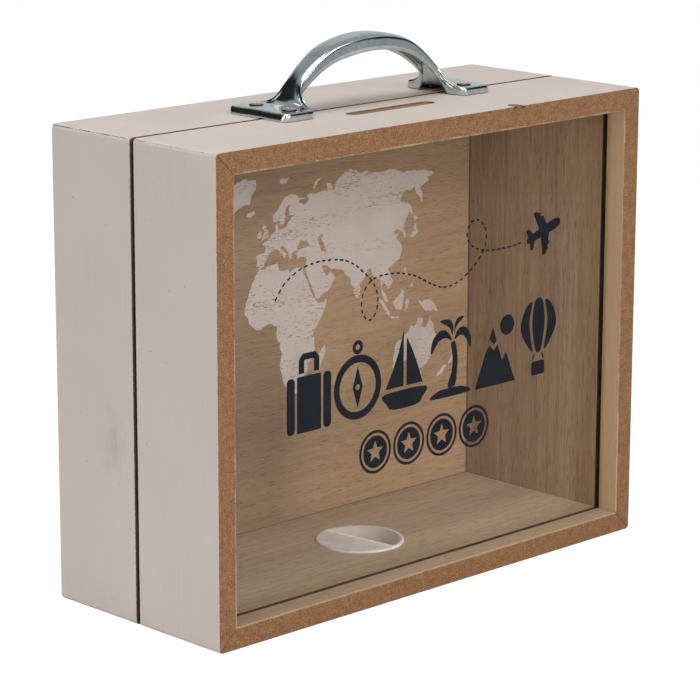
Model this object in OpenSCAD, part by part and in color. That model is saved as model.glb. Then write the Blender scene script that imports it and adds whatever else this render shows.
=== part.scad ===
// Wooden money box with a glazed front, a carrying handle and a rubber-like stopper.
// Four mitred boards make the frame. A pane sits in a groove near the front, and a thin
// panel closes the back from a rebate. Coins drop in through a slot in the top board and
// come out through the stopper's hole in the bottom board.
// Millimetres. X runs left to right across the front, Y runs front to back, Z is up.
// The origin is the centre of the underside.

/* [Frame] */
// Width of the frame
box_w = 200; // [180:1:240]
// Depth of the frame, front to back
box_d = 80; // [74:1:110]
// Height of the frame without the handle
box_h = 162; // [120:1:220]
// Thickness of the boards
board_t = 7.5; // [7:0.1:10]
// Rounding of the four outer corners of the frame
corner_r = 1.5; // [0.5:0.1:3]
// Width of the saw line that runs round the outside at mid depth
line_w = 1.6; // [0.8:0.1:3]
// Depth of the saw line
line_depth = 1.8; // [0.5:0.1:2.5]

/* [Pane] */
// Thickness of the pane
pane_t = 2; // [1.5:0.1:3]
// Distance from the front edge of the frame to the pane
pane_inset = 8; // [5:0.5:14]
// How far the pane reaches into the boards
pane_bite = 2.7; // [1.5:0.1:3.5]

/* [Back] */
// Thickness of the back panel
back_t = 3; // [2:0.1:4]
// How far the back panel lies inside the rear edge
back_recess = 2.1; // [0:0.1:4]
// How far the rebate for the back panel cuts into the boards
rebate = 4; // [3.8:0.1:5]

/* [Coin slot] */
// Length of the coin slot
slot_l = 40; // [30:1:50]
// Width of the coin slot
slot_w = 5; // [4:0.1:8]
// Place of the slot along X
slot_x = 3; // [-5:0.5:5]
// Place of the slot along Y, in front of the saw line
slot_y = -13; // [-16:0.5:-11]

/* [Stopper] */
// Diameter of the hole that the stopper fills
hole_d = 31; // [26:0.5:34]
// Place of the stopper along X
stopper_x = 2; // [-20:1:20]
// Diameter of the stopper's flange
flange_d = 36; // [35:0.5:40]
// Thickness of the stopper's flange
flange_t = 1.5; // [1:0.1:2]
// Wall of the stopper's cup
cup_wall = 1.4; // [1:0.1:2]
// How far the stopper's top stands above the floor of the box
stopper_proud = 0.8; // [0:0.1:1.5]
// Turn of the stopper in its hole
stopper_turn = 6.5; // [0:0.5:360]

/* [Handle] */
// Length of the handle over its feet
handle_l = 98.4; // [96:0.2:110]
// Width of the handle's feet
foot_w = 28; // [25:0.5:30]
// Length of each foot
foot_l = 14.5; // [13.5:0.5:16]
// Height of the feet
foot_h = 3; // [2.5:0.1:4]
// Height of the bow above the top board
bow_h = 24.6; // [22:0.2:28]
// Width of the bow
bow_w = 13; // [11:0.5:15]
// Depth of the bow's turned-down sides at mid length
bow_side = 6; // [4:0.2:7]
// Thickness of the handle's sheet metal
sheet_t = 1.2; // [0.8:0.1:1.5]
// Place of the handle's middle along X
handle_x = 4.4; // [-6:0.2:6]
// Place of the handle's middle along Y
handle_y = 2; // [0:0.1:3]

/* [Screws] */
// Distance between the screws along the handle
screw_span = 83; // [82:0.5:88]
// Distance between the two screws of a foot
screw_gap = 16; // [14:0.5:18]
// Diameter of the screws
screw_d = 2.8; // [2.4:0.1:3]
// How deep the screws go into the top board
screw_bite = 6; // [4:0.1:6.5]

/* [Brads] */
// Diameter of the brads
brad_d = 1.2; // [1:0.1:1.4]
// Length of the corner brads
corner_brad_l = 18; // [12:1:20]
// Length of the back panel's brads
back_brad_l = 13; // [10:1:18]

/* [Hidden] */

$fn = 96;
over = 1;                                     // how far a cut runs past a face
half_w = box_w / 2;
half_d = box_d / 2;
inner_w = box_w - 2 * board_t;
inner_top = box_h - board_t;

// Pane and its groove
pane_y = -half_d + pane_inset;                // front face of the pane
groove_play = 0.2;                            // play behind the pane and round its edge
groove_depth = pane_bite + groove_play;

// Back panel and its rebate
back_y = half_d - back_recess - back_t;       // front face of the back panel
back_play = 0.25;

// Stopper
seat_play = 0.5;                              // room round the flange in its seat
seat_depth = flange_t + 0.15;                 // the flange stays just inside the underside
cup_play = 0.08;                              // the cup is a push fit in its hole
cup_r = hole_d / 2 - cup_play;
cup_top = board_t + stopper_proud;

// Handle
bow_span = 38.6;                              // half the chord where the bow meets the feet
bow_rise = bow_h - foot_h;
bow_r = (bow_span * bow_span + bow_rise * bow_rise) / (2 * bow_rise);
under_half = handle_l / 2 - foot_l;           // the arch below the bow, half its width
under_h = bow_h - bow_side;
under_square = 0.8;                           // 1 is an ellipse, less is squarer
waist_r = 7.5;                                // rounding from the bow out to the feet
waist_half = handle_l / 2 - foot_l + 1.5;     // the narrow stretch ends here
foot_corner = 2.5;

// Screws and brads
head_d = 5;
head_h = 1.1;
screw_tip = 2;
screw_hole_play = 0.3;
screw_x = screw_span / 2;
screw_y = screw_gap / 2;
brad_head_d = 1.9;
brad_head_h = 0.6;
filler = 0.5;                                 // filler and paint over the sunk corner brads
corner_brad_in = 3.6;                         // brad's distance from the outer side face
corner_brad_y = 20;
back_brad_in = 2;                             // brad's distance from the board's inner face

// The frame's outline as one block with rounded corners
module frame_block() {
    core_w = box_w - 2 * corner_r;
    core_h = box_h - 2 * corner_r;
    translate([-half_w, -half_d, corner_r])
        cube([box_w, box_d, core_h]);
    translate([-core_w / 2, -half_d, 0])
        cube([core_w, box_d, box_h]);
    for (side = [-1, 1], z = [corner_r, box_h - corner_r])
        translate([side * core_w / 2, half_d, z])
            rotate([90, 0, 0])
                cylinder(r = corner_r, h = box_d);
}

// A wedge of the frame, cut at 45 degrees at both ends
module board_wedge(long, deep) {
    translate([0, half_d, 0])
        rotate([90, 0, 0])
            linear_extrude(box_d)
                polygon([[-long / 2, 0], [long / 2, 0],
                    [long / 2 - deep, deep], [-long / 2 + deep, deep]]);
}

// The saw line round the outside
module saw_line() {
    difference() {
        translate([-half_w - over, -line_w / 2, -over])
            cube([box_w + 2 * over, line_w, box_h + 2 * over]);
        translate([-half_w + line_depth, -line_w, line_depth])
            cube([box_w - 2 * line_depth, 2 * line_w, box_h - 2 * line_depth]);
    }
}

// A flat block centred across the opening, standing up from front to rear face
module upright(half_wide, low, high, front, rear) {
    translate([-half_wide, front, low])
        cube([2 * half_wide, rear - front, high - low]);
}

// The cuts that every board gets: saw line, pane groove and rear rebate
module frame_cuts() {
    saw_line();
    upright(inner_w / 2 + groove_depth, board_t - groove_depth, inner_top + groove_depth,
        pane_y, pane_y + pane_t + groove_play);
    upright(inner_w / 2 + rebate, board_t - rebate, inner_top + rebate, back_y, half_d + over);
}

// A brad along -Z with its head at the origin
module brad(long) {
    translate([0, 0, -brad_head_h])
        cylinder(d = brad_head_d, h = brad_head_h);
    translate([0, 0, -long])
        cylinder(d = brad_d, h = long - brad_head_h);
}

// Brads that pin the four corners, driven through the top and bottom boards
module corner_brad_set() {
    for (side = [-1, 1], y = [-corner_brad_y, corner_brad_y]) {
        translate([side * (half_w - corner_brad_in), y, box_h - filler])
            brad(corner_brad_l);
        translate([side * (half_w - corner_brad_in), y, filler])
            rotate([180, 0, 0])
                brad(corner_brad_l);
    }
}

// Brads that hold the back panel in its rebate, driven forwards
module back_brad_set() {
    for (x = [-inner_w / 4, inner_w / 4], z = [board_t - back_brad_in, inner_top + back_brad_in])
        translate([x, back_y + back_t, z])
            rotate([-90, 0, 0])
                brad(back_brad_l);
    for (side = [-1, 1], z = [box_h / 4, 3 * box_h / 4])
        translate([side * (inner_w / 2 + back_brad_in), back_y + back_t, z])
            rotate([-90, 0, 0])
                brad(back_brad_l);
}

// A slot with round ends, through the top board
module coin_slot() {
    straight = slot_l - slot_w;
    translate([slot_x, slot_y, inner_top - over])
        linear_extrude(board_t + 2 * over)
            union() {
                square([straight, slot_w], center = true);
                for (end = [-1, 1])
                    translate([end * straight / 2, 0])
                        circle(d = slot_w);
            }
}

// A handle screw with its head's underside on the foot
module handle_screw() {
    below = foot_h + screw_bite;
    translate([0, 0, foot_h])
        rotate_extrude()
            polygon([[0, 0], [head_d / 2, 0], [head_d / 2, head_h * 0.4],
                [head_d * 0.36, head_h * 0.85], [head_d * 0.16, head_h], [0, head_h]]);
    translate([0, 0, foot_h - below + screw_tip])
        cylinder(d = screw_d, h = below - screw_tip);
    translate([0, 0, foot_h - below])
        cylinder(d1 = 0.4, d2 = screw_d, h = screw_tip);
}

// Puts its children on the top board at one of the handle's four screw places
module at_screw(side, row) {
    translate([handle_x + side * screw_x, handle_y + row * screw_y, box_h])
        children();
}

module top_board() {
    color([0.80, 0.77, 0.74])
        difference() {
            intersection() {
                frame_block();
                translate([0, 0, box_h])
                    mirror([0, 0, 1])
                        board_wedge(box_w, board_t);
            }
            frame_cuts();
            coin_slot();
            for (side = [-1, 1], row = [-1, 1])
                at_screw(side, row)
                    handle_screw();
            corner_brad_set();
            back_brad_set();
        }
}

module bottom_board() {
    color([0.80, 0.77, 0.74])
        difference() {
            intersection() {
                frame_block();
                board_wedge(box_w, board_t);
            }
            frame_cuts();
            translate([stopper_x, 0, -over])
                cylinder(d = hole_d, h = board_t + 2 * over);
            translate([stopper_x, 0, -over])
                cylinder(d = flange_d + 2 * seat_play, h = seat_depth + over);
            corner_brad_set();
            back_brad_set();
        }
}

module side_board(side) {
    color([0.75, 0.71, 0.67])
        difference() {
            intersection() {
                frame_block();
                translate([side * half_w, 0, box_h / 2])
                    rotate([0, -side * 90, 0])
                        board_wedge(box_h, board_t);
            }
            frame_cuts();
            corner_brad_set();
            back_brad_set();
        }
}

module left_board() {
    side_board(-1);
}

module right_board() {
    side_board(1);
}

module glass_pane() {
    color([0.75, 0.82, 0.80, 0.35])
        upright(inner_w / 2 + pane_bite, board_t - groove_depth,
            inner_top + pane_bite, pane_y, pane_y + pane_t);
}

module back_panel() {
    color([0.70, 0.56, 0.40])
        difference() {
            upright(inner_w / 2 + rebate - back_play, board_t - rebate,
                inner_top + rebate - back_play, back_y, back_y + back_t);
            back_brad_set();
        }
}

// The handle's plan: a narrow bow between two wide feet, drawn smaller by the inset
module handle_plan(inset) {
    foot_x = handle_l / 2 - inset;
    foot_y = foot_w / 2 - inset;
    corner = foot_corner - inset * 0.5;
    difference() {
        union() {
            square([2 * foot_x, 2 * (foot_y - corner)], center = true);
            square([2 * (foot_x - corner), 2 * foot_y], center = true);
            for (x = [-1, 1], y = [-1, 1])
                translate([x * (foot_x - corner), y * (foot_y - corner)])
                    circle(r = corner);
        }
        for (y = [-1, 1])
            translate([0, y * (bow_w / 2 - inset + waist_r)])
                union() {
                    square([2 * (waist_half + inset - waist_r), 2 * waist_r], center = true);
                    translate([0, y * waist_r])
                        square([2 * (waist_half + inset), 2 * waist_r], center = true);
                    for (x = [-1, 1])
                        translate([x * (waist_half + inset - waist_r), 0])
                            circle(r = waist_r);
                }
    }
}

// Everything under the handle's outer skin, drawn smaller by the inset
module handle_under_skin(inset) {
    intersection() {
        translate([0, 0, -over])
            linear_extrude(bow_h + 2 * over)
                handle_plan(inset);
        union() {
            translate([0, foot_w, bow_h - bow_r])
                rotate([90, 0, 0])
                    cylinder(r = bow_r - inset, h = 2 * foot_w, $fn = 192);
            translate([-handle_l, -foot_w, -2 * over])
                cube([2 * handle_l, 2 * foot_w, foot_h - inset + 2 * over]);
        }
    }
}

// The arch below the bow, through from front to rear
module under_arch() {
    steps = 40;
    translate([0, foot_w, 0])
        rotate([90, 0, 0])
            linear_extrude(2 * foot_w)
                polygon([
                    for (i = [0:steps])
                        let (a = 180 * i / steps, c = cos(a))
                        [under_half * sign(c) * pow(abs(c), under_square),
                            under_h * pow(max(sin(a), 0), under_square) - (i % steps == 0 ? over : 0)]
                ]);
}

module handle() {
    color([0.68, 0.73, 0.76])
        translate([handle_x, handle_y, box_h])
            difference() {
                intersection() {
                    handle_under_skin(0);
                    translate([-handle_l, -foot_w, 0])
                        cube([2 * handle_l, 2 * foot_w, bow_h + over]);
                }
                handle_under_skin(sheet_t);
                under_arch();
                for (side = [-1, 1], row = [-1, 1])
                    translate([side * screw_x, row * screw_y, 0])
                        cylinder(d = screw_d + 2 * screw_hole_play, h = foot_h + over);
            }
}

module screw_left_front() {
    color([0.78, 0.72, 0.66])
        at_screw(-1, -1)
            handle_screw();
}

module screw_left_rear() {
    color([0.78, 0.72, 0.66])
        at_screw(-1, 1)
            handle_screw();
}

module screw_right_front() {
    color([0.78, 0.72, 0.66])
        at_screw(1, -1)
            handle_screw();
}

module screw_right_rear() {
    color([0.78, 0.72, 0.66])
        at_screw(1, 1)
            handle_screw();
}

// Half of the room inside the stopper's cup, on one side of its middle wall
module half_cup(side, low, high) {
    intersection() {
        translate([0, 0, low])
            cylinder(r = cup_r - cup_wall, h = high - low);
        translate([side > 0 ? cup_wall / 2 : -2 * cup_r - cup_wall / 2, -cup_r, low])
            cube([2 * cup_r, 2 * cup_r, high - low]);
    }
}

// A moulded plug with a flange. One half of its cup is open upwards, and the other half
// is a half-moon pocket from below, for the finger that pulls it out.
module stopper() {
    seat_top = seat_depth - 0.05;
    flange_low = seat_top - flange_t;
    color([0.88, 0.88, 0.86, 0.8])
        translate([stopper_x, 0, 0])
            rotate([0, 0, stopper_turn])
                difference() {
                    union() {
                        translate([0, 0, flange_low])
                            cylinder(d = flange_d, h = flange_t);
                        translate([0, 0, flange_low])
                            cylinder(r = cup_r, h = cup_top - flange_low);
                    }
                    half_cup(1, seat_top, cup_top + over);
                    half_cup(-1, -over, cup_top - cup_wall);
                }
}

module back_panel_brads() {
    color([0.72, 0.72, 0.72])
        back_brad_set();
}

module corner_brads() {
    color([0.72, 0.72, 0.72])
        corner_brad_set();
}

top_board();
bottom_board();
left_board();
right_board();
glass_pane();
back_panel();
handle();
screw_left_front();
screw_left_rear();
screw_right_front();
screw_right_rear();
stopper();
back_panel_brads();
corner_brads();
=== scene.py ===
import math
import random

import bmesh
import bpy
from mathutils import Matrix, Vector


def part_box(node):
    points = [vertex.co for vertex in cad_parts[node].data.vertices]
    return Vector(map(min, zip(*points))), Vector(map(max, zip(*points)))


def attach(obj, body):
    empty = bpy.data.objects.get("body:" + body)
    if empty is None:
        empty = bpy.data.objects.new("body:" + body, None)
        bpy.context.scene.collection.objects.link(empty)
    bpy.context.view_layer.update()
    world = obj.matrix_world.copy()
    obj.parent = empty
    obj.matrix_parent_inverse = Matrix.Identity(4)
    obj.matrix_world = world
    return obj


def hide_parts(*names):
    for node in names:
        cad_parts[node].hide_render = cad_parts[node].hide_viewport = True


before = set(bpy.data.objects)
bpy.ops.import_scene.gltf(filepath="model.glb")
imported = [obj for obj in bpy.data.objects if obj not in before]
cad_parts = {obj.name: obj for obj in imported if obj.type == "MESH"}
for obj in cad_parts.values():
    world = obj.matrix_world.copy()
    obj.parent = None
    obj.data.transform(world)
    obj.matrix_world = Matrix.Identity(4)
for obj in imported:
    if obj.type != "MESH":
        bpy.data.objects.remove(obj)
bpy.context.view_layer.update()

# ---------------------------------------------------------------------------
# Camera, floor and light. The box stands on a white table in a white studio. A long lens
# looks down on it a little from the front left, and soft lights stand around it.

mm = 0.001

lens = bpy.data.cameras.new("camera")
lens.sensor_width = 36
lens.lens = 153.34
lens.clip_start = 0.05
camera = bpy.data.objects.new("camera", lens)
turn, tilt, roll = math.radians(-44.355), math.radians(13.585), math.radians(0.149)
lean = math.pi / 2 - tilt
aim = Matrix.Rotation(turn, 3, "Z") @ Matrix.Rotation(lean, 3, "X") @ Matrix.Rotation(roll, 3, "Z")
camera.rotation_euler = aim.to_euler()
camera.location = (-0.7014, -0.7142, 0.3184)
bpy.context.scene.collection.objects.link(camera)
bpy.context.scene.camera = camera
bpy.context.scene.view_settings.view_transform = "Standard"


def soft_light(name, place, width, depth, power):
    """A soft box that faces the middle of the object."""
    data = bpy.data.lights.new(name, "AREA")
    data.shape = "RECTANGLE"
    data.size, data.size_y = width, depth
    data.energy = power
    lamp = bpy.data.objects.new(name, data)
    lamp.location = place
    middle = Vector((0, 0, 0.09))
    lamp.rotation_euler = (middle - Vector(place)).to_track_quat("-Z", "Y").to_euler()
    bpy.context.scene.collection.objects.link(lamp)


soft_light("overhead", (-0.1, -0.1, 1.5), 1.4, 0.9, 12)
soft_light("front_fill", (-0.3, -1.7, 0.65), 0.9, 0.9, 19)
soft_light("left_fill", (-1.7, -0.1, 0.7), 1.2, 1.2, 8.5)


class Value:
    """What a socket gives out, so that sums on it can be written as Python expressions."""

    def __init__(self, finish, socket):
        self.finish, self.socket = finish, socket

    def sum(self, operation, *others, swap=False):
        terms = (self, *others)[::-1] if swap else (self, *others)
        return self.finish.node("ShaderNodeMath", {"operation": operation}, dict(enumerate(terms)))

    def __add__(self, other):
        return self.sum("ADD", other)

    def __radd__(self, other):
        return self.sum("ADD", other, swap=True)

    def __sub__(self, other):
        return self.sum("SUBTRACT", other)

    def __rsub__(self, other):
        return self.sum("SUBTRACT", other, swap=True)

    def __mul__(self, other):
        return self.sum("MULTIPLY", other)

    def __rmul__(self, other):
        return self.sum("MULTIPLY", other, swap=True)

    def __abs__(self):
        return self.sum("ABSOLUTE")

    def high(self, other):
        return self.sum("MAXIMUM", other)

    def low(self, other):
        return self.sum("MINIMUM", other)

    def root(self):
        return self.sum("SQRT")

    def ramp(self, start, end):
        """0 up to start, 1 from end, and an even slope between them."""
        return self.finish.node("ShaderNodeMapRange", {"clamp": True},
                                {"Value": self, "From Min": start, "From Max": end})


class Finish:
    """The nodes of a material, or of the room's light, as it is made up."""

    def __init__(self, owner):
        owner.use_nodes = True
        self.owner, self.tree = owner, owner.node_tree
        self.surface = self.tree.nodes.get("Principled BSDF")
        self.place = self.node("ShaderNodeTexCoord", output="Object")

    def node(self, kind, settings=None, inputs=None, output=0):
        made = self.tree.nodes.new(kind)
        for name, value in (settings or {}).items():
            setattr(made, name, value)
        for name, value in (inputs or {}).items():
            self.feed(made.inputs[name], value)
        return Value(self, made.outputs[output])

    def feed(self, socket, value):
        if isinstance(value, Value):
            self.tree.links.new(value.socket, socket)
        elif socket.type == "RGBA" and len(value) == 3:
            socket.default_value = (*value, 1)
        else:
            socket.default_value = value

    def set(self, **inputs):
        for name, value in inputs.items():
            self.feed(self.surface.inputs[name.replace("_", " ")], value)

    def axes(self, vector):
        parts = self.node("ShaderNodeSeparateXYZ", {}, {0: vector}).socket.node.outputs
        return [Value(self, part) for part in parts]

    def stretched(self, x, y, z):
        """The place on the piece, in metres, times a number of repeats along each axis."""
        return self.node("ShaderNodeVectorMath", {"operation": "MULTIPLY"}, {0: self.place, 1: (x, y, z)})

    def noise(self, scale=1.0, detail=3.0, roughness=0.5, along=None):
        return self.node("ShaderNodeTexNoise", {}, {
            "Vector": along or self.place, "Scale": scale, "Detail": detail, "Roughness": roughness})

    def mix(self, share, first, second):
        return self.node("ShaderNodeMix", {"data_type": "RGBA"}, {0: share, 6: first, 7: second}, output=2)

    def bump(self, height, strength, distance):
        return self.node("ShaderNodeBump", {},
                         {"Height": height, "Strength": strength, "Distance": distance})


def finish(name, **fixed):
    """A new material with the values that are the same all over it."""
    made = Finish(bpy.data.materials.new(name))
    made.set(**fixed)
    return made


world = bpy.data.worlds.new("studio")
sky = Finish(world)
bpy.context.scene.world = world
heading = sky.axes(sky.node("ShaderNodeTexCoord", output="Generated"))


def black_screen(x, y, z, near, far):
    """How much of a black screen, in that direction, covers the room's light."""
    return (heading[0] * x + heading[1] * y + heading[2] * z).ramp(math.cos(far), math.cos(near))


# A grey room, brighter behind at the right, with black screens: two behind, one at the right and
# one high at the front
behind_left = black_screen(-0.64, 0.74, 0.2, 0.52, 0.62)
behind = black_screen(-0.3, 0.9, 0.33, 0.40, 0.47)
at_right = black_screen(0.80, -0.42, 0.42, 0.40, 0.52)
high_front = black_screen(0.1, -0.85, 0.52, 0.34, 0.42)
bright_wall = black_screen(0.69, 0.69, 0.235, 0.2, 0.6)
glow = 0.02 + (0.38 + 0.2 * bright_wall) * (1 - behind_left.high(behind)) * (1 - at_right.high(high_front))
room = sky.node("ShaderNodeBackground", {}, {"Color": (0.95, 0.98, 1.0), "Strength": glow})
paper = sky.node("ShaderNodeBackground", {}, {"Color": (1, 1, 1), "Strength": 1.0})
seen = sky.node("ShaderNodeLightPath", output="Is Camera Ray")
sky.tree.links.new(sky.node("ShaderNodeMixShader", {}, {0: seen, 1: room, 2: paper}).socket,
                   sky.tree.nodes["World Output"].inputs["Surface"])

sheet = bmesh.new()
bmesh.ops.create_circle(sheet, cap_ends=True, segments=96, radius=0.75)
floor_mesh = bpy.data.meshes.new("floor")
sheet.to_mesh(floor_mesh)
sheet.free()
floor = bpy.data.objects.new("floor", floor_mesh)
bpy.context.scene.collection.objects.link(floor)
table = finish("white_table", Base_Color=(0.75, 0.75, 0.75), Roughness=0.9)
lit = table.node("ShaderNodeEmission", {}, {"Color": (1, 1, 1), "Strength": 1.15})
shown = table.node("ShaderNodeLightPath", output="Is Camera Ray") * 0.82
board_top = Value(table, table.surface.outputs[0])
table.tree.links.new(table.node("ShaderNodeMixShader", {}, {0: shown, 1: board_top, 2: lit}).socket,
                     table.tree.nodes["Material Output"].inputs["Surface"])
floor_mesh.materials.append(table.owner)

# ---------------------------------------------------------------------------
# The four boards of the frame: fibreboard with a thin wood veneer on the inner face. Each is
# sawn to a mitre at both ends and glued to its neighbours, the outside is painted off-white
# after gluing, and the front and rear edges stay bare.


def srgb(red, green, blue):
    """A colour as a paint card shows it, 0 to 255, in linear light."""
    return tuple(v / 255 / 12.92 if v <= 10 else ((v / 255 + 0.055) / 1.055) ** 2.4
                 for v in (red, green, blue))


frame_low = Vector((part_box("left_board")[0].x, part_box("top_board")[0].y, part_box("bottom_board")[0].z))
frame_high = Vector((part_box("right_board")[1].x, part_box("top_board")[1].y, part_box("top_board")[1].z))
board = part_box("bottom_board")[1].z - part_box("bottom_board")[0].z
half = (frame_high - frame_low) / 2
centre = (frame_high + frame_low) / 2
corner = 1.5 * mm
groove_y = (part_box("glass_pane")[0].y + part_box("glass_pane")[1].y) / 2
# The coin slot, half its straight part and the radius of its ends, and a chip out of the paint
slot_x, slot_y, slot_straight, slot_end = 3 * mm, -13 * mm, 17.5 * mm, 2.5 * mm
chip_x, chip_y = 37.6 * mm, -38.4 * mm


def wood_grain(f, along, light, dark, pore):
    """Plain wood: broad bands, fine streaks along the grain and short dark pores."""
    def run(across, length, **noise):
        rates = {"X": (length, across, across), "Z": (across, across, length)}[along]
        return f.noise(along=f.stretched(*rates), **noise)

    bands = run(48, 5, detail=3, roughness=0.6)
    streaks = run(520, 16, detail=5, roughness=0.65)
    fine = run(2200, 130, detail=3, roughness=0.6)
    pores = run(2600, 210, detail=1).ramp(0.60, 0.70)
    tone = bands * 0.4 + streaks * 0.4 + fine * 0.3
    colour = f.mix(tone.ramp(0.36, 0.74), dark, light)
    return f.mix(pores * 0.55, colour, pore), fine * 0.6 + streaks * 0.4, pores


# Veneer, light, dark and in its pores: paler on the level boards, browner on the upright ones
veneers = {"X": (srgb(222, 198, 168), srgb(178, 151, 122), srgb(130, 104, 78)),
           "Z": (srgb(200, 168, 130), srgb(138, 108, 78), srgb(94, 68, 46))}


def board_finish(name, along):
    """Paint outside, bare fibreboard on the edges and in the cuts, veneer inside."""
    f = finish(name)
    x, y, z = f.axes(f.place)
    from_x, from_z = abs(x - centre.x), abs(z - centre.z)
    # Depth below the outer skin, which has round corners
    over_x, over_z = from_x - (half.x - corner), from_z - (half.z - corner)
    round_part = (over_x.high(0) * over_x.high(0) + over_z.high(0) * over_z.high(0)).root()
    below = corner - round_part - over_x.high(over_z).low(0)
    # Depth into the board from its inner face and from its front or rear edge
    behind = (from_x - (half.x - board)).high(from_z - (half.z - board))
    from_edge = half.y - abs(y)
    mitre = abs((half.x - from_x) - (half.z - from_z))
    ragged = f.noise(1400) - 0.5
    patchy = f.noise(160)

    # Fibreboard: pressed wood fibres with light and dark specks; the saw cut and the pane's groove are
    # darker, partly marked by the saw and partly painted shade that deepens further in
    specks = f.noise(1800, detail=4, roughness=0.72)
    clumps = f.noise(420)
    fibres = f.mix((specks * 0.85 + clumps * 0.2).ramp(0.40, 0.65), srgb(100, 66, 39), srgb(158, 115, 77))
    chips = f.noise(1100, detail=1)
    fibres = f.mix(chips.ramp(0.66, 0.72) * 0.45, fibres, srgb(198, 158, 118))
    fibres = f.mix(chips.ramp(0.28, 0.24) * 0.5, fibres, srgb(78, 54, 36))
    # Painted light: the walls of the coin slot and of other holes deep in the board are lighter, standing in
    # for light that reaches into them
    slot_wall_light = below.ramp(0.3 * mm, 1 * mm) * from_edge.ramp(10 * mm, 12 * mm) * behind.ramp(0, 0.3 * mm)
    fibres = f.mix(slot_wall_light * 0.6, fibres, srgb(196, 172, 144))
    # The saw cut and the pane's groove: partly real marks of the saw, partly painted shade, darkest deepest
    # in
    cut = abs(y - centre.y).ramp(1.1 * mm, 0.9 * mm)
    groove = abs(y - groove_y).ramp(1.6 * mm, 1.2 * mm) * behind.ramp(0, 0.3 * mm)
    sawn_and_shaded = (cut * below.ramp(-0.05 * mm, 0.2 * mm)).high(groove)
    darkening, deep_shade = {"X": (0.4, 0.5), "Z": (0.8, 0.8)}[along]
    fibres = f.mix(sawn_and_shaded * darkening, fibres, srgb(84, 62, 42))
    fibres = f.mix(sawn_and_shaded * below.ramp(0.5 * mm, 1.4 * mm) * deep_shade, fibres, srgb(34, 22, 12))

    # Veneer on the inner face, whose torn edge shows beside the pane
    wood, fine, pores = wood_grain(f, along, *veneers[along])
    # Painted shade: the veneer on the inner faces is darker towards the front, near the pane
    wood = f.mix(y.ramp(-16 * mm, -30 * mm) * behind.ramp(1 * mm, 0) * 0.38, wood, srgb(112, 88, 64))
    if along == "Z":
        wood = f.mix(y.ramp(-32 * mm, -34 * mm) * 0.5, wood, srgb(226, 190, 152))
    # The dark line where the back panel meets the board
    wood = f.mix(y.ramp(33.6 * mm, 34.6 * mm) * 0.6, wood, srgb(58, 44, 30))
    on_inner = behind.ramp(0.12 * mm, 0.04 * mm)
    torn = behind.ramp(0.75 * mm, 0.35 * mm) * from_edge.ramp(0.8 * mm, 0.1 * mm)
    frayed = (patchy + ragged * 0.9 + z.ramp(40 * mm, 20 * mm) * 0.25).ramp(0.42, 0.66)
    inside = f.mix(torn * frayed * 0.6, fibres, srgb(196, 168, 140))
    inside = f.mix(on_inner, inside, wood)

    # Paint: brushed along the board, thin at the corners, chipped beside the cuts
    rates = {"X": (22, 1500, 1500), "Z": (1500, 1500, 22)}[along]
    brush = f.noise(along=f.stretched(*rates), detail=4, roughness=0.6)
    cloud = f.noise(28, detail=2)
    grit = f.noise(2600, detail=2)
    paint = f.mix((brush * 0.45 + cloud * 0.55).ramp(0.35, 0.65), srgb(198, 187, 178), srgb(204, 194, 185))
    fleck = f.noise(420, detail=0).ramp(0.84, 0.87)
    paint = f.mix(fleck * 0.45, paint, srgb(150, 120, 96))
    covered = (below + ragged * (0.25 * mm)).ramp(0.36 * mm, 0.22 * mm)
    reach = (from_edge - below + ragged * (0.5 * mm)).ramp(-0.05 * mm, 0.08 * mm)
    worn = mitre.ramp(0.32 * mm, 0.12 * mm) * (patchy + ragged * 0.7 + y * 3).ramp(0.46, 0.56)
    by_cut = (abs(y - centre.y) + ragged * (0.5 * mm)).ramp(1.02 * mm, 0.92 * mm)
    painted = covered * reach * (1 - worn * 0.95) * (1 - by_cut)
    if along == "X":
        # The chip near the front edge of the top board
        off_x, off_y = (x - chip_x) * 0.75, (y - chip_y) * 0.55
        chip = (off_x * off_x + off_y * off_y).root() + ragged * (0.9 * mm)
        # The coin slot, whose edges have lost a little paint
        off_x, off_y = (abs(x - slot_x) - slot_straight).high(0), y - slot_y
        by_slot = (off_x * off_x + off_y * off_y).root() - slot_end + ragged * (0.5 * mm)
        bared = chip.ramp(1.9 * mm, 1.6 * mm).high(by_slot.ramp(0.45 * mm, 0.3 * mm))
        painted = painted * (1 - bared * z.ramp(150 * mm, 155 * mm))
        rim = chip.ramp(1 * mm, 1.5 * mm) * chip.ramp(2.5 * mm, 2 * mm) * z.ramp(160.5 * mm, 161.5 * mm)
        inside = f.mix(rim * 0.8, inside, srgb(66, 42, 24))
    colour = f.mix(painted, inside, paint)
    if along == "Z":
        # A faint scuff low on the left board
        off_y, off_z = (y - 12 * mm) * 1.3, (z - 60 * mm) * 0.6
        scuff = (off_y * off_y + off_z * off_z).root() + (patchy - 0.5) * (18 * mm)
        rub = scuff.ramp(8 * mm, 1 * mm) * x.ramp(-0.09, -0.1) * brush.ramp(0.35, 0.7)
        colour = f.mix(rub * painted * 0.4, colour, srgb(140, 118, 98))
    on_front = from_edge.ramp(0.5 * mm, 0.1 * mm) + y.ramp(0, 0.03)
    seam = mitre.ramp(0.28 * mm, 0.08 * mm) * (1 - painted) * on_front
    colour = f.mix(seam * (patchy + ragged).ramp(0.3, 0.5) * 0.75, colour, srgb(58, 40, 28))

    bare = (specks * 0.8 + clumps * 0.3) * (1 - on_inner * 0.8)
    relief = bare + (brush * 0.4 + grit * 0.12 - bare) * painted
    f.set(Base_Color=colour, Roughness=0.88 - painted * 0.3 - on_inner * 0.22,
          Normal=f.bump(relief, 0.45, 0.1 * mm))
    return f.owner


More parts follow.
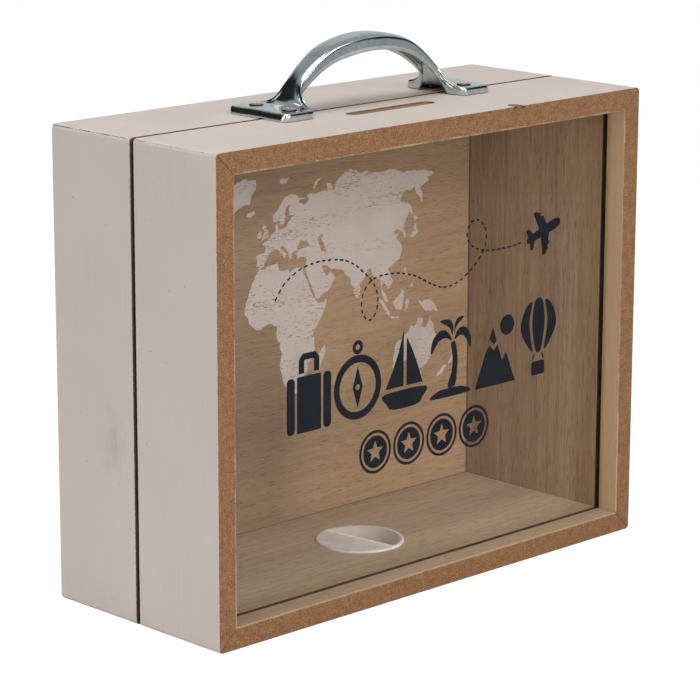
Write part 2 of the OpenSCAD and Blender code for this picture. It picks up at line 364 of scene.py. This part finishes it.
def finished(name, work, smooth_below=33):
    """The piece for a bmesh, at the origin, smooth where its faces meet at a small angle."""
    for edge in work.edges:
        edge.smooth = len(edge.link_faces) == 2 and edge.calc_face_angle(0) < math.radians(smooth_below)
    for face in work.faces:
        face.smooth = True
    mesh = bpy.data.meshes.new(name)
    work.to_mesh(mesh)
    work.free()
    piece = bpy.data.objects.new(name, mesh)
    bpy.context.scene.collection.objects.link(piece)
    return piece


def softened(name, node, width, chosen):
    """A copy of a CAD node with its seams merged and the chosen edges sanded round."""
    work = bmesh.new()
    work.from_mesh(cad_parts[node].data)
    bmesh.ops.remove_doubles(work, verts=work.verts, dist=0.001 * mm)
    bmesh.ops.dissolve_limit(work, angle_limit=math.radians(0.5), verts=work.verts, edges=work.edges)
    sharp = [e for e in work.edges
             if len(e.link_faces) == 2 and e.calc_face_angle(0) > math.radians(28) and chosen(e)]
    bmesh.ops.bevel(work, geom=sharp, offset=width, offset_type="OFFSET", affect="EDGES", segments=2,
                    profile=0.5, material=-1, clamp_overlap=True)
    piece = finished(name, work)
    piece.modifiers.new("flat_faces", "WEIGHTED_NORMAL").keep_sharp = True
    return piece


def placed(piece, material, slot, *nodes, body="box"):
    """Gives a piece its material, its body and the CAD nodes that it stands for; the slot is not used."""
    piece.data.materials.append(material)
    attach(piece, body)
    if nodes:
        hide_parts(*nodes)


def on_skin(edge):
    """Whether an edge lies on the outside of the frame, or on its front or rear face."""
    near = 0.03 * mm
    ends = [v.co - centre for v in edge.verts]
    if all(half.y - abs(end.y) < near for end in ends):
        return True
    return all(max(abs(end.x) - half.x, abs(end.z) - half.z) > -0.5 * mm for end in ends)


level, upright = board_finish("painted_board_level", "X"), board_finish("painted_board_upright", "Z")
for node, material in (("top_board", level), ("bottom_board", level),
                       ("left_board", upright), ("right_board", upright)):
    placed(softened(node + "_wood", node, 0.22 * mm, on_skin), material, "painted_board", node)

# ---------------------------------------------------------------------------
# The back panel: thin plywood with the grain running sideways, set in a rebate and nailed on.
# A world map is printed on its inner face in pale ink, which the grain has left patchy.

panel = finish("panel_wood")
panel_colours = srgb(196, 161, 124), srgb(160, 126, 91), srgb(122, 92, 64)
panel_wood, panel_fine, panel_pores = wood_grain(panel, "X", *panel_colours)


panel_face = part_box("back_panel")[0].y


def with_painted_shade(f, colour):
    """Painted shade: darker on the inner face towards the top and the left, where less light falls."""
    x, y, z = f.axes(f.place)
    high_up = z.ramp(55 * mm, 125 * mm) * (0.3 + x.ramp(20 * mm, -70 * mm) * 0.45)
    inner = y.ramp(panel_face + 0.6 * mm, panel_face + 0.2 * mm)
    return f.mix(high_up.high(x.ramp(14 * mm, -8 * mm) * 0.42) * inner, colour, srgb(96, 72, 48))


# Painted shade on the panel's inner face, darker towards the top and the left
panel_wood = with_painted_shade(panel, panel_wood)
panel.set(Base_Color=panel_wood, Roughness=0.62 + panel_pores * 0.2,
          Normal=panel.bump(panel_fine, 0.4, 0.08 * mm))


def refinished(node, f):
    """Gives a CAD node that stays as it is a better material."""
    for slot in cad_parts[node].material_slots:
        slot.material = f.owner


refinished("back_panel", panel)

printed = finish("map_print")
under, under_fine, under_pores = wood_grain(printed, "X", *panel_colours)
flecks = printed.noise(along=printed.stretched(420, 1500, 2600), detail=3, roughness=0.6)
bands = printed.noise(along=printed.stretched(14, 60, 110), detail=2)
kept = (flecks * 0.72 + bands * 0.42).ramp(0.69, 0.64)
wash = printed.noise(90, detail=2).ramp(0.3, 0.7)
pale = printed.mix(wash, srgb(216, 203, 196), srgb(226, 214, 208))
# Painted shade: the print is darker towards the top, over wood that carries the panel's painted shade
pale = printed.mix(printed.axes(printed.place)[2].ramp(45 * mm, 115 * mm) * 0.38, pale, srgb(150, 134, 124))
printed.set(Base_Color=printed.mix(kept * 0.92, with_painted_shade(printed, under), pale), Roughness=0.7,
            Normal=printed.bump(under_fine, 0.3, 0.06 * mm))

coasts = {
    "africa": """-6,36 -2,35 10,37 11,33.5 20,32 20,30.5 25,32 32,31 35.5,24 37.5,19 39.5,15.5 43,12
        44.5,10.5 51,12 48,5 42,-1.5 39.5,-5 40.5,-10.5 40.5,-15 35,-20 35.5,-24 32.5,-26 32,-29
        27,-33.5 20,-35 18,-33 15,-27 12,-18 13.5,-11 12,-5 9,-1 9.5,4 5,6 1,6 -7.5,4.5 -13,8.5 -17,14
        -16.5,20 -13,27 -10,31""",
    "eurasia": """-9,37 -9.5,43 -2,43.5 -1,46 -4.5,48.5 1,50 4,52 8,54 8,57 10.5,57.5 10.5,54 14,54
        19,54.5 21,57 24,59 30,60 22,60.5 21.5,63 25,65.5 22,65.5 17,61.5 18.5,60 16,56.5 12.5,56 11,59
        8,58 5,59 5,62 12,66 18,70 26,71 31,70 41,67 33,66.5 38,64 44,66 43,68.5 54,68.5 60,69 67,69
        68,72.5 73,72 73,67.5 78,72 87,74.5 104,77.5 113,74 127,73 140,72.5 160,70 170,70 180,69 190,66
        180,65 178,62.5 164,60 162,56 157,51 156,57 160,61 155,59.5 143,59 136,54.5 141,53 140,48 132,43
        128,40 129,36 126.5,34.5 126,37.5 122,40 118,39 122,37 119,35 122,31 121,28 117,23.5 110,21
        106,20 109,13 107,10.5 105,9 102,12.5 100,13.5 99.5,10 103.5,4 104,1.5 101,3 98.5,8 98,15 94,17
        91.5,22.5 87,21 80,15 80,10.5 77.5,8 74,14 72.5,20 69,22 67,25 57,27 48,30 50,27 52,24 56,26
        59.5,22.5 55,17.5 45,13 43,13 39,21 35,28 34.5,31.5 36,36.5 28,36.5 26.5,40 30,41.2 36,41.5
        41.5,42 37,45 39,47 34,45 31,46.5 28,43 28,41 23,40.5 23,38 21.5,37 19.5,41 13.5,45.5 12.5,44
        18,40.5 16,38 12,42 8.5,44.3 3,43 0,40 -2,37 -5.5,36 | 51,47 47.5,45 49,41 50,37.5 54,37 53,41
        51,44.5 54,46.5""",
    "islands_west": """-5.5,50 1,51 1.5,53 -2,56 -2,57.5 -4,58.5 -6,57 -3,54 -5,52 | -10,52 -6,52 -6,55
        -8,55 | -23,64 -18,63.5 -14,65 -16,66.5 -23,66 | -45,60 -40,65 -22,70 -18,77 -20,82 -35,83.5
        -60,82 -70,78 -58,75 -53,69 -52,64 | 52,71 58,74 68,77 60,76 53,73 | 12,78 20,77 24,80 14,80""",
    "islands_east": """80,9 82,7 80.5,6 | 49,-12 50.5,-16 47,-25 44,-24 44,-17 | 131,34 136,34 140.5,36
        141.5,41 140,41 137,37 133,35.5 | 140,42 145,43.5 142,45.5 | 142,46 143.5,49 143,54 142,53 |
        120.5,22.5 121.5,25 120.2,24 | 120.5,14 122,14 122,18.5 120.5,18 | 122,7 126,6.5 126,9.5 |
        95.5,5.5 98,4 104,-2 106,-6 102,-4 98.5,1.5 | 105.5,-6.5 108,-6.5 114,-7.5 114,-8.5 108,-7.8 |
        109,1.5 113,3.5 117,7 119,5 117.5,1 116,-4 111,-3.3 | 119,-1 120,1 125,1.5 121,0.5 123,-1
        121.5,-2 122.5,-5 120.5,-3 119.5,-5.5 | 131,-1 134,-3 138,-1.8 144,-4 147,-6.5 151,-10.5
        146,-8.5 143,-9 138,-8 133,-4""",
    "australia": """114,-22 114,-26 115.5,-32 115,-34.5 118,-35 124,-33 131,-31.5 135.5,-34.8 138,-33
        140,-38 146,-39 150,-37 153,-31.5 153,-25.5 148.5,-20 145.5,-15 142.5,-10.7 141,-16 139,-17.5
        135.5,-15 136.5,-12 132,-11 129.5,-15 126,-14 122.5,-18 118,-20.5 | 145,-41 148,-41 147,-43.5 |
        173,-35 176,-37.5 178,-38 175.5,-41.5 174,-39.5 174.5,-37 | 173,-41 174,-42 170.5,-46 167,-46.5
        168,-44""",
    "north_america": """-168,66 -156,71 -141,70 -128,70 -115,68 -95,68 -94,72 -82,69 -82,67 -94,61
        -93,58.5 -82,55 -79,51.5 -77,56 -78,62 -70,61 -65,58.5 -60,55 -56,52 -66,50 -60,46 -66,44 -70,43
        -74,40.5 -76,35 -81,31 -80,25.5 -83,29 -90,29.5 -97,27 -97,22 -94,18 -90,21 -87,21.5 -88.5,16
        -83,15 -83.5,10 -79,8.8 -83,8 -88,13 -95,16 -105,20 -109,25.5 -114,31 -110,23 -117,32.5 -124,40
        -124,48 -130,54 -140,60 -151,60 -158,57 -163,55 -158,59 -165,61 -161,64.5 | -80,73.5 -68,69
        -63,65.5 -68,62.5 -74,68 -88,71 | -117,72 -105,69.3 -116,69.3 | -80,76.5 -65,82.5 -90,81""",
    "south_america": """-77.5,8.5 -72,12 -62,10.5 -52,5 -50,0 -44,-2.5 -35,-6 -39,-13 -41,-22 -48,-26
        -53,-33.5 -58,-38.5 -65,-42 -66,-48 -69,-52.5 -66,-55 -74,-51 -73.5,-40 -71.5,-30 -70.5,-18
        -76,-14 -81,-6 -80,-1 -78,3 | -84,22 -77,20 -75,20.5 -80,23""",
}


def rugged(points, rng, longest=0.8 * mm):
    """An outline with bays and capes pushed into each stretch longer than the longest allowed."""
    for reach in (0.15, 0.12, 0.08):
        finer = []
        for a, b in zip(points, points[1:] + points[:1]):
            finer.append(a)
            along = b - a
            if along.length > longest:
                push = rng.uniform(-reach, reach)
                finer.append((a + b) / 2 + Vector((-along.y, along.x)) * push)
        points = finer
    return points


def on_map(longitude, latitude):
    """A place on the globe, in metres on the panel's inner face."""
    across = -3.5 + 0.585 * (1 - 0.29 * (abs(latitude) / 70) ** 2) * (longitude - 12)
    return Vector((across, 77.2 + 0.69 * latitude + 0.03 * across)) * mm


def flat_print(name, loops, face_y, thickness):
    """Thin closed solids on a face that looks towards -Y, from outlines in X and Z with holes in them."""
    work = bmesh.new()
    for group in loops:
        edges = []
        for loop in group:
            corners = [work.verts.new((p[0], face_y, p[1])) for p in loop]
            edges += [work.edges.new(pair) for pair in zip(corners, corners[1:] + corners[:1])]
        bmesh.ops.triangle_fill(work, use_beauty=True, use_dissolve=False, normal=(0, -1, 0), edges=edges)
    for face in work.faces:
        face.normal_update()
        if face.normal.y > 0:
            face.normal_flip()
    skin = list(work.faces)
    walls = bmesh.ops.extrude_face_region(work, geom=skin, use_keep_orig=True)["geom"]
    front = [v for v in walls if isinstance(v, bmesh.types.BMVert)]
    bmesh.ops.translate(work, verts=front, vec=(0, -thickness, 0))
    bmesh.ops.recalc_face_normals(work, faces=work.faces)
    return finished(name, work, 20)


map_depth = 0.02 * mm
for number, (name, text) in enumerate(coasts.items()):
    rng = random.Random(number)
    outlines = [[on_map(*map(float, p.split(","))) for p in part.split()] for part in text.split("|")]
    outlines = [rugged(outline, rng) for outline in outlines]
    # The second outline of the biggest land is the inland sea, so both are filled together
    loops = [outlines] if name == "eurasia" else [[outline] for outline in outlines]
    placed(flat_print("map_" + name, loops, panel_face, map_depth), printed.owner, "panel")

# ---------------------------------------------------------------------------
# The pane: clear glass held in grooves of the frame. On its front face a dashed flight line, an
# aeroplane, a row of travel signs and a row of coins are printed in dark blue ink.

pane = finish("clear_pane", Base_Color=(1, 1, 1), Roughness=0.02, Metallic=0.0, IOR=1.45)
smear = pane.noise(9, detail=3).ramp(0.45, 0.75)
clear = pane.node("ShaderNodeBsdfTransparent", {}, {"Color": (0.985, 0.988, 0.986)})
mirror = pane.node("ShaderNodeBsdfGlossy", {}, {"Color": (0.9, 0.93, 0.95), "Roughness": 0.03})
share = 0.016 + smear * 0.008
pane.tree.links.new(pane.node("ShaderNodeMixShader", {}, {0: share, 1: clear, 2: mirror}).socket,
                    pane.tree.nodes["Material Output"].inputs["Surface"])
refinished("glass_pane", pane)

ink = finish("navy_ink", Specular_IOR_Level=0.15)
blot = ink.noise(260, detail=2)
ink.set(Base_Color=ink.mix(blot.ramp(0.3, 0.7), srgb(17, 20, 27), srgb(25, 29, 37)),
        Roughness=0.5 + blot * 0.2, Normal=ink.bump(ink.noise(1800, detail=2), 0.2, 0.02 * mm))


def round_loop(x, z, radius, count=36):
    return [(x + radius * math.cos(a), z + radius * math.sin(a))
            for a in (math.tau * k / count for k in range(count))]


def block(x0, z0, x1, z1, radius=0.8):
    """A rectangle with round corners."""
    loop = []
    for cx, cz, start in ((x1 - radius, z1 - radius, 0), (x0 + radius, z1 - radius, 90),
                          (x0 + radius, z0 + radius, 180), (x1 - radius, z0 + radius, 270)):
        for step in range(5):
            a = math.radians(start + step * 22.5)
            loop.append((cx + radius * math.cos(a), cz + radius * math.sin(a)))
    return loop


def curve(points, closed=False, steps=6):
    """A smooth line through given points."""
    count = len(points)
    spots = []
    for k in range(count if closed else count - 1):
        if closed:
            four = [Vector(points[(k + j) % count]) for j in (-1, 0, 1, 2)]
        else:
            four = [Vector(points[min(max(k + j, 0), count - 1)]) for j in (-1, 0, 1, 2)]
        a, b, c, d = four
        for step in range(steps):
            t = step / steps
            spots.append(0.5 * (2 * b + (c - a) * t + (2 * a - 5 * b + 4 * c - d) * t * t
                                + (3 * b - a - 3 * c + d) * t ** 3))
    return spots if closed else spots + [Vector(points[-1])]


# Each sign is drawn in millimetres in a cell 20 wide and 27 high
suitcase = [[block(0, 0, 3.6, 19, 1.6)], [block(4.6, 0, 15.4, 19, 0.4)], [block(16.4, 0, 20, 19, 1.6)],
            [[(5.4, 20), (5.4, 24.6), (7.2, 26.6), (12.8, 26.6), (14.6, 24.6), (14.6, 20), (12.2, 20),
              (12.2, 24), (11.8, 24.4), (8.2, 24.4), (7.8, 24), (7.8, 20)]]]
compass = [[round_loop(10, 11, 11), round_loop(10, 11, 8.4)],
           [[(10, 18.2), (12.3, 11), (10, 3.8), (7.7, 11)], round_loop(10, 11, 1.0, 12)],
           [round_loop(10, 24.6, 2.4, 24), round_loop(10, 24.6, 1.0, 16)]]
boat = [[curve([(0.2, 6), (19.8, 6), (18.6, 2.4), (15.6, 0.2), (4.4, 0.2), (1.4, 2.4)], True, 4)],
        [[(9.4, 7.6), (9.4, 27), (7.2, 20), (4.2, 13.6), (0.8, 7.6)]],
        [[(10.8, 7.6), (10.8, 24.4), (13.2, 20.4), (16, 14.4), (18.6, 7.6)]]]
palm = [[curve([(8.6, 3.6), (10.6, 9), (10.9, 14), (10.2, 18.6), (12.2, 18.8), (13.4, 13.6), (13.2, 8.6),
                (12.2, 3.6)], True, 4)],
        [curve([(0.6, 0.2), (19.4, 0.2), (16.2, 2.6), (10.2, 3), (3.8, 2.6)], True, 4)],
        [curve([(10.6, 19.6), (7.6, 20.8), (4, 20), (0.4, 16), (1, 20.6), (4.4, 23.6), (8.2, 23)], True, 4)],
        [curve([(11.8, 19.6), (14.4, 20.8), (17, 19.8), (19.8, 15.6), (19.6, 20.4), (17, 23.4), (13.6, 23)],
               True, 4)],
        [curve([(10.6, 21.2), (9.4, 24), (4.6, 27), (9.2, 27), (11.2, 24.6)], True, 4)],
        [curve([(12, 21.2), (12.6, 24), (16.4, 27), (13.4, 27), (11.8, 24.8)], True, 4)]]
hills = [[[(0, 0), (20.4, 0), (15.6, 11), (13.6, 8.4), (11.2, 14.4), (9.4, 12.4), (7.4, 14.6), (5.6, 13)]],
         [[(6.2, 14.8), (7.4, 16.6), (9.4, 14.4), (10.8, 16), (8.8, 21)]],
         [round_loop(16, 20.6, 3.6, 28)]]
balloon = [[curve([(6.8, 8.6), (1.6, 15), (1, 20), (3.4, 24.8), (6.6, 26.6), (5.4, 20), (6, 14)], True, 5)],
           [curve([(8.8, 8.6), (7.4, 14), (6.8, 20), (8.2, 26.9), (11.8, 26.9), (13.2, 20), (12.6, 14),
                   (11.2, 8.6)], True, 5)],
           [curve([(13.2, 8.6), (18.4, 15), (19, 20), (16.6, 24.8), (13.4, 26.6), (14.6, 20), (14, 14)],
                  True, 5)],
           [block(6.6, 0, 13.4, 5, 0.9)],
           [[(6.8, 5.6), (7.6, 7.6), (8.4, 7.6), (7.6, 5.6)]],
           [[(12.4, 5.6), (11.6, 7.6), (12.4, 7.6), (13.2, 5.6)]]]
signs = {"suitcase": suitcase, "compass": compass, "boat": boat, "palm": palm, "hills": hills,
         "balloon": balloon}

ink_face, ink_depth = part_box("glass_pane")[0].y, 0.03 * mm


def ink_print(name, groups, place=(0, 0)):
    """Prints a drawing in millimetres on the pane, moved to its place."""
    shifted = [[[((place[0] + p[0]) * mm, (place[1] + p[1]) * mm) for p in loop]
                for loop in group] for group in groups]
    placed(flat_print("print_" + name, shifted, ink_face, ink_depth), ink.owner, "pane")


row_left, row_low, row_step = -63, 63.6, 22.2
for number, (name, groups) in enumerate(signs.items()):
    ink_print(name, groups, (row_left + number * row_step, row_low))

coin_left, coin_low, coin_step = -22.5, 50.8, 16
star = [(r * math.sin(a), r * math.cos(a)) for r, a in
        ((3.9 if k % 2 == 0 else 1.7, math.tau * k / 10) for k in range(10))]
coin = [[round_loop(0, 0, 7.5, 48), round_loop(0, 0, 6.5, 44)], [round_loop(0, 0, 5.6, 40), star]]
for number in range(4):
    ink_print("coin_%d" % (number + 1), coin, (coin_left + number * coin_step, coin_low))

flight = [(-68, 109.5), (-64, 114.4), (-57, 118.2), (-48.6, 119.6), (-38.8, 118.8), (-33, 116.6),
          (-28.6, 113.4), (-24, 109.2), (-21.6, 104), (-22.4, 98.8), (-25.4, 96.4), (-28.6, 99.2),
          (-29, 104.2), (-26.8, 108.2), (-23, 110.4), (-16.6, 110.8), (-10.8, 110.2), (-3.8, 108.2),
          (2.6, 105), (9, 102.4), (15.8, 102.8),
          (22, 105.8), (27.6, 110.2), (30.4, 115), (30, 120), (26.6, 123.2), (22.6, 122.6), (21, 118.8),
          (23, 115), (28.6, 112.4), (36.6, 111.6), (43.8, 111.8), (50.4, 112.6)]
dash_length, dash_pitch, dash_half, dash_tip = 1.35, 2.7, 0.3, 0.15
path = curve(flight, steps=24)
dashes, walked, start = [], 0.0, None
for a, b in zip(path, path[1:]):
    phase = walked % dash_pitch
    if phase < dash_length and start is None:
        start = a
    if phase >= dash_length and start is not None:
        ahead = (a - start).normalized()
        side = Vector((-ahead.y, ahead.x)) * dash_half
        tip = ahead * dash_tip
        dashes.append([[start - tip, start + side, a + side, a + tip, a - side, start - side]])
        start = None
    walked += (b - a).length
ink_print("flight_line", dashes)

# Half of the aeroplane, nose to tail: ahead along the fuselage, then out to the side
half_plane = [(18.2, 0), (17.9, 0.9), (17, 1.5), (15.4, 1.85), (11.6, 1.75), (10.4, 4.3), (10.8, 4.6),
              (10.6, 5.4), (9.7, 5.5), (9.3, 6.1), (9.7, 6.4), (9.5, 7.1), (8.6, 7.2), (8.1, 7.9),
              (7.3, 8.3), (6.4, 8.1), (6.2, 7.5), (7.3, 1.7), (4, 1.35), (2.7, 3.5), (2, 4),
              (1.2, 3.9), (1, 3.3), (1.4, 1.2), (0.2, 0.75)]
plane = half_plane + [(u, -v) for u, v in reversed(half_plane[1:])]
nose_up = math.radians(18)
plane = [(u * math.cos(nose_up) - v * math.sin(nose_up), u * math.sin(nose_up) + v * math.cos(nose_up))
         for u, v in plane]
ink_print("aeroplane", [[plane]], (51.1, 112))

# ---------------------------------------------------------------------------
# The handle: zinc-plated sheet steel pressed into a channel, with a flat foot at each end whose
# rim is turned down. It stands on the top board.

handle_low, handle_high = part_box("handle")
handle_x, handle_y = (handle_low.x + handle_high.x) / 2, (handle_low.y + handle_high.y) / 2
handle_half, foot_half = (handle_high.x - handle_low.x) / 2, (handle_high.y - handle_low.y) / 2
metal, foot_round, rim_round = 1.2 * mm, 2.5 * mm, 1 * mm
end_round, end_drop = 1.5 * mm, 2.5 * mm
# Down one half, in mm: distance out, crown, ridge where the side turns down, half width, side wall
leg_line = [(0, 24.2, 23.2, 6.4, 4.8), (4, 24.0, 23.1, 6.2, 4.9), (8, 23.5, 22.7, 6.0, 5.0),
            (12, 22.7, 22.0, 5.7, 5.0), (16.4, 21.5, 20.9, 5.3, 4.9), (20.4, 19.7, 19.2, 5.0, 4.8),
            (24.6, 17.1, 16.6, 4.6, 4.5), (28.4, 14.2, 13.7, 4.3, 4.3), (31.2, 11.7, 11.2, 4.1, 4.2),
            (32.6, 10.0, 9.4, 4.6, 4.4), (33.5, 8.5, 7.4, 5.6, 4.9), (34.1, 7.3, 5.5, 7.0, 5.3),
            (34.6, 6.2, 4.1, 9.0, 5), (35.1, 5.3, 3.3, 11.4, 5), (35.7, 4.5, 2.95, 13.4, 5),
            (36.6, 3.7, 2.85, 14.1, 5), (38, 3.15, 2.85, 14.25, 5), (40, 3, 2.85, 14.25, 5),
            (46.5, 3, 2.85, 14.25, 5)]


def ease(value, start, end):
    """0 up to start, 1 from end, and a soft S between them."""
    t = min(max((value - start) / (end - start), 0), 1)
    return t * t * (3 - 2 * t)


def handle_section(out, crown, ridge, width, wall):
    """Half of a cut across the handle: up the side wall, round the ridge and over to the crown."""
    if out > handle_half - foot_round:
        over = out - handle_half + foot_round
        width = foot_half - foot_round + math.sqrt(max(foot_round ** 2 - over ** 2, 0))
    if out > handle_half - end_round:
        share = (out - handle_half + end_round) / end_round
        drop = end_drop * (1 - math.sqrt(max(1 - share * share, 0)))
        crown, ridge = crown - drop, ridge - drop
    low = max(ridge - wall, 0)
    turn_in = min(rim_round, (ridge - low) * 0.7)
    half_cut = [(-width, low), (-width, low + (ridge - turn_in - low) * 0.5)]
    for step in range(5):
        a = math.radians(22.5 * step)
        half_cut.append((-width + turn_in * (1 - math.cos(a)), ridge - turn_in * (1 - math.sin(a))))
    inner = width - turn_in
    spread = ease(out, 30.5 * mm, 34 * mm)
    for share in (0.9, 0.8, 0.7, 0.6, 0.5, 0.4, 0.3, 0.2, 0.1):
        flat = 1 - share ** 4
        bell = 1 - ease(inner * share, 1 * mm, min(inner, 9 * mm))
        half_cut.append((-inner * share, ridge + (crown - ridge) * (flat + (bell - flat) * spread)))
    return half_cut + [(0, crown)] + [(-y, z) for y, z in reversed(half_cut)]


stations = curve(leg_line, steps=3)
stations += [(out, 3, 2.85, 14.25, 5) for out in (47, 47.5, 48, 48.4, 48.75, 49, 49.15, 49.2)]
work = bmesh.new()
cuts = []
for side in (-1, 1):
    for station in stations[1:] if side > 0 else reversed(stations):
        out = station[0] * mm
        x = handle_x + side * out
        outline = handle_section(out, *(value * mm for value in station[1:]))
        cuts.append([(x, handle_y + y, handle_low.z + z) for y, z in outline])
# A last cut at each end, pressed down flat on the board, closes the foot
left_end, right_end = ([(x, y, handle_low.z) for x, y, z in cuts[end]] for end in (0, -1))
cuts = [left_end] + cuts + [right_end]
previous = None
for cut in cuts:
    spots = [work.verts.new(spot) for spot in cut]
    edges = [work.edges.new(pair) for pair in zip(spots, spots[1:])]
    if previous:
        bmesh.ops.bridge_loops(work, edges=previous + edges)
    previous = edges
bmesh.ops.remove_doubles(work, verts=work.verts, dist=0.02 * mm)
bmesh.ops.recalc_face_normals(work, faces=work.faces)
if sum(face.normal.z * face.calc_area() for face in work.faces) < 0:
    bmesh.ops.reverse_faces(work, faces=work.faces)
bmesh.ops.solidify(work, geom=list(work.faces), thickness=metal)
handle = finished("handle_steel", work, 60)
rounding = handle.modifiers.new("rounding", "SUBSURF")
rounding.levels = rounding.render_levels = 1

zinc = finish("zinc_plate", Metallic=1.0)
spangle = zinc.noise(420, detail=3, roughness=0.6)
drawn = zinc.noise(along=zinc.stretched(90, 1600, 90), detail=3)
pits = zinc.noise(1300, detail=1).ramp(0.70, 0.76)
tint = zinc.mix(spangle.ramp(0.35, 0.65), srgb(190, 200, 200), srgb(208, 216, 216))
tint = zinc.mix(zinc.noise(60, detail=2).ramp(0.55, 0.8) * 0.3, tint, srgb(196, 190, 184))
zinc.set(Base_Color=zinc.mix(pits * 0.4, tint, srgb(120, 126, 128)),
         Roughness=0.10 + spangle * 0.08 + drawn * 0.04,
         Normal=zinc.bump(spangle * 0.6 + drawn * 0.4, 0.10, 0.05 * mm))
placed(handle, zinc.owner, "plated_steel", "handle")

# ---------------------------------------------------------------------------
# Four small wood screws hold the handle. Their low round heads are brassy steel with a cross cut
# for the driver.

brassy = finish("screw_brass", Metallic=1.0)
wear = brassy.noise(900, detail=3)
head_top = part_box("screw_left_front")[1].z
# Painted shade: darker deep in the cross cut and under the edge of the head
recess_shade = brassy.axes(brassy.place)[2].ramp(head_top - 0.75 * mm, head_top - 0.95 * mm)
brass = brassy.mix(wear.ramp(0.35, 0.7), srgb(186, 164, 152), srgb(222, 206, 196))
brassy.set(Base_Color=brassy.mix(recess_shade * 0.85, brass, srgb(62, 34, 26)),
           Roughness=0.2 + wear * 0.15, Normal=brassy.bump(wear, 0.15, 0.03 * mm))

cross_turn = 0.5  # radians, as the driver left them
for node in ("screw_left_front", "screw_left_rear", "screw_right_front", "screw_right_rear"):
    low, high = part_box(node)
    x, y = (low.x + high.x) / 2, (low.y + high.y) / 2
    head, head_rise, shank = (high.x - low.x) / 2, 1.1 * mm, 1.4 * mm
    seat = high.z - head_rise
    top = seat + 0.6 * mm
    profile = [(0, top), (head * 0.35, top - 0.03 * mm), (head * 0.68, top - 0.12 * mm),
               (head * 0.88, top - 0.28 * mm), (head, seat + 0.12 * mm), (head * 0.97, seat - 0.1 * mm),
               (shank, seat - 0.1 * mm), (shank, low.z + 3 * mm), (0.3 * mm, low.z + 0.1 * mm), (0, low.z)]
    work = bmesh.new()
    spots = [work.verts.new((x + out, y, z)) for out, z in profile]
    edges = [work.edges.new(pair) for pair in zip(spots, spots[1:])]
    bmesh.ops.spin(work, geom=spots + edges, cent=(x, y, 0), axis=(0, 0, 1), angle=math.tau, steps=28,
                   use_merge=True)
    bmesh.ops.remove_doubles(work, verts=work.verts, dist=0.005 * mm)
    bmesh.ops.recalc_face_normals(work, faces=work.faces)
    screw = finished(node + "_steel", work, 40)
    cutter = bmesh.new()
    for turned in (0, math.pi / 2):
        blade = bmesh.ops.create_cube(cutter, size=1)["verts"]
        bmesh.ops.scale(cutter, verts=blade, vec=(head * 1.25, 0.55 * mm, 0.9 * mm))
        for v in blade:
            if v.co.z < 0:
                v.co.x, v.co.y = v.co.x * 0.45, v.co.y * 0.6
        bmesh.ops.rotate(cutter, verts=blade, matrix=Matrix.Rotation(turned + cross_turn, 3, "Z"))
        bmesh.ops.translate(cutter, verts=blade, vec=(x, y, top - 0.1 * mm))
    cross = finished("cross_cut", cutter)
    cut = screw.modifiers.new("cross", "BOOLEAN")
    cut.object, cut.operation, cut.solver, cut.use_self = cross, "DIFFERENCE", "EXACT", True
    shaped = bpy.data.meshes.new_from_object(screw.evaluated_get(bpy.context.evaluated_depsgraph_get()))
    screw.modifiers.clear()
    screw.data = shaped
    bpy.data.objects.remove(cross)
    placed(screw, brassy.owner, "screw_steel", node)

# ---------------------------------------------------------------------------
# The stopper: a soft, cloudy plastic plug moulded in one piece, pushed into the hole in the bottom
# board from below and pulled out by a half-moon pocket.

cloudy = finish("cloudy_plastic", Transmission_Weight=0.2, IOR=1.42, Specular_IOR_Level=0.5)
haze = cloudy.noise(220, detail=3)
plug_low, plug_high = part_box("stopper")
plug_x, plug_y = (plug_low.x + plug_high.x) / 2, (plug_low.y + plug_high.y) / 2
sideways, onward, upward = cloudy.axes(cloudy.place)
# The wall across the middle of the stopper stands a little turned
wall_turn = math.radians(6.5)
from_wall = (sideways - plug_x) * math.cos(wall_turn) + (onward - plug_y) * math.sin(wall_turn)
milky_and_shade = cloudy.mix(haze.ramp(0.35, 0.65), srgb(240, 234, 229), srgb(252, 250, 248))
# Painted shade: the far half of the stopper, beyond its middle wall, is darker
milky_and_shade = cloudy.mix(from_wall.ramp(0.8 * mm, 1.6 * mm) * 0.7, milky_and_shade, srgb(196, 178, 163))
rim = ((sideways - plug_x) * (sideways - plug_x) + (onward - plug_y) * (onward - plug_y)).root()
wall_top = abs(from_wall).ramp(1.2 * mm, 0.8 * mm) * upward.ramp(5 * mm, 6 * mm)
# Painted highlight and glow: the top of the middle wall and part of the rim are painted white, and the
# stopper glows faintly, most along those lines
white = wall_top.high(rim.ramp(14.6 * mm, 15 * mm) * from_wall.ramp(-1 * mm, 1 * mm))
cloudy.set(Base_Color=cloudy.mix(white * 0.9, milky_and_shade, (1, 1, 1)), Emission_Strength=0.12,
           Emission_Color=cloudy.mix(white, (0.25, 0.23, 0.21), (1, 0.95, 0.9)),
           Roughness=0.28 + haze * 0.2, Normal=cloudy.bump(cloudy.noise(700, detail=2), 0.15, 0.05 * mm))
plug = softened("stopper_moulding", "stopper", 0.25 * mm, lambda edge: True)
placed(plug, cloudy.owner, "stopper_plastic", "stopper", body="stopper")

# ---------------------------------------------------------------------------
# Small steel nails: two through each corner of the frame, and eight round the back panel. Only
# their heads show.

nail = finish("nail_steel", Metallic=0.9)
rust = nail.noise(700, detail=3)
nail.set(Base_Color=nail.mix(rust.ramp(0.5, 0.75), srgb(168, 166, 162), srgb(128, 108, 92)),
         Roughness=0.35 + rust * 0.25, Normal=nail.bump(rust, 0.2, 0.03 * mm))
for node in ("corner_brads", "back_panel_brads"):
    refinished(node, nail)
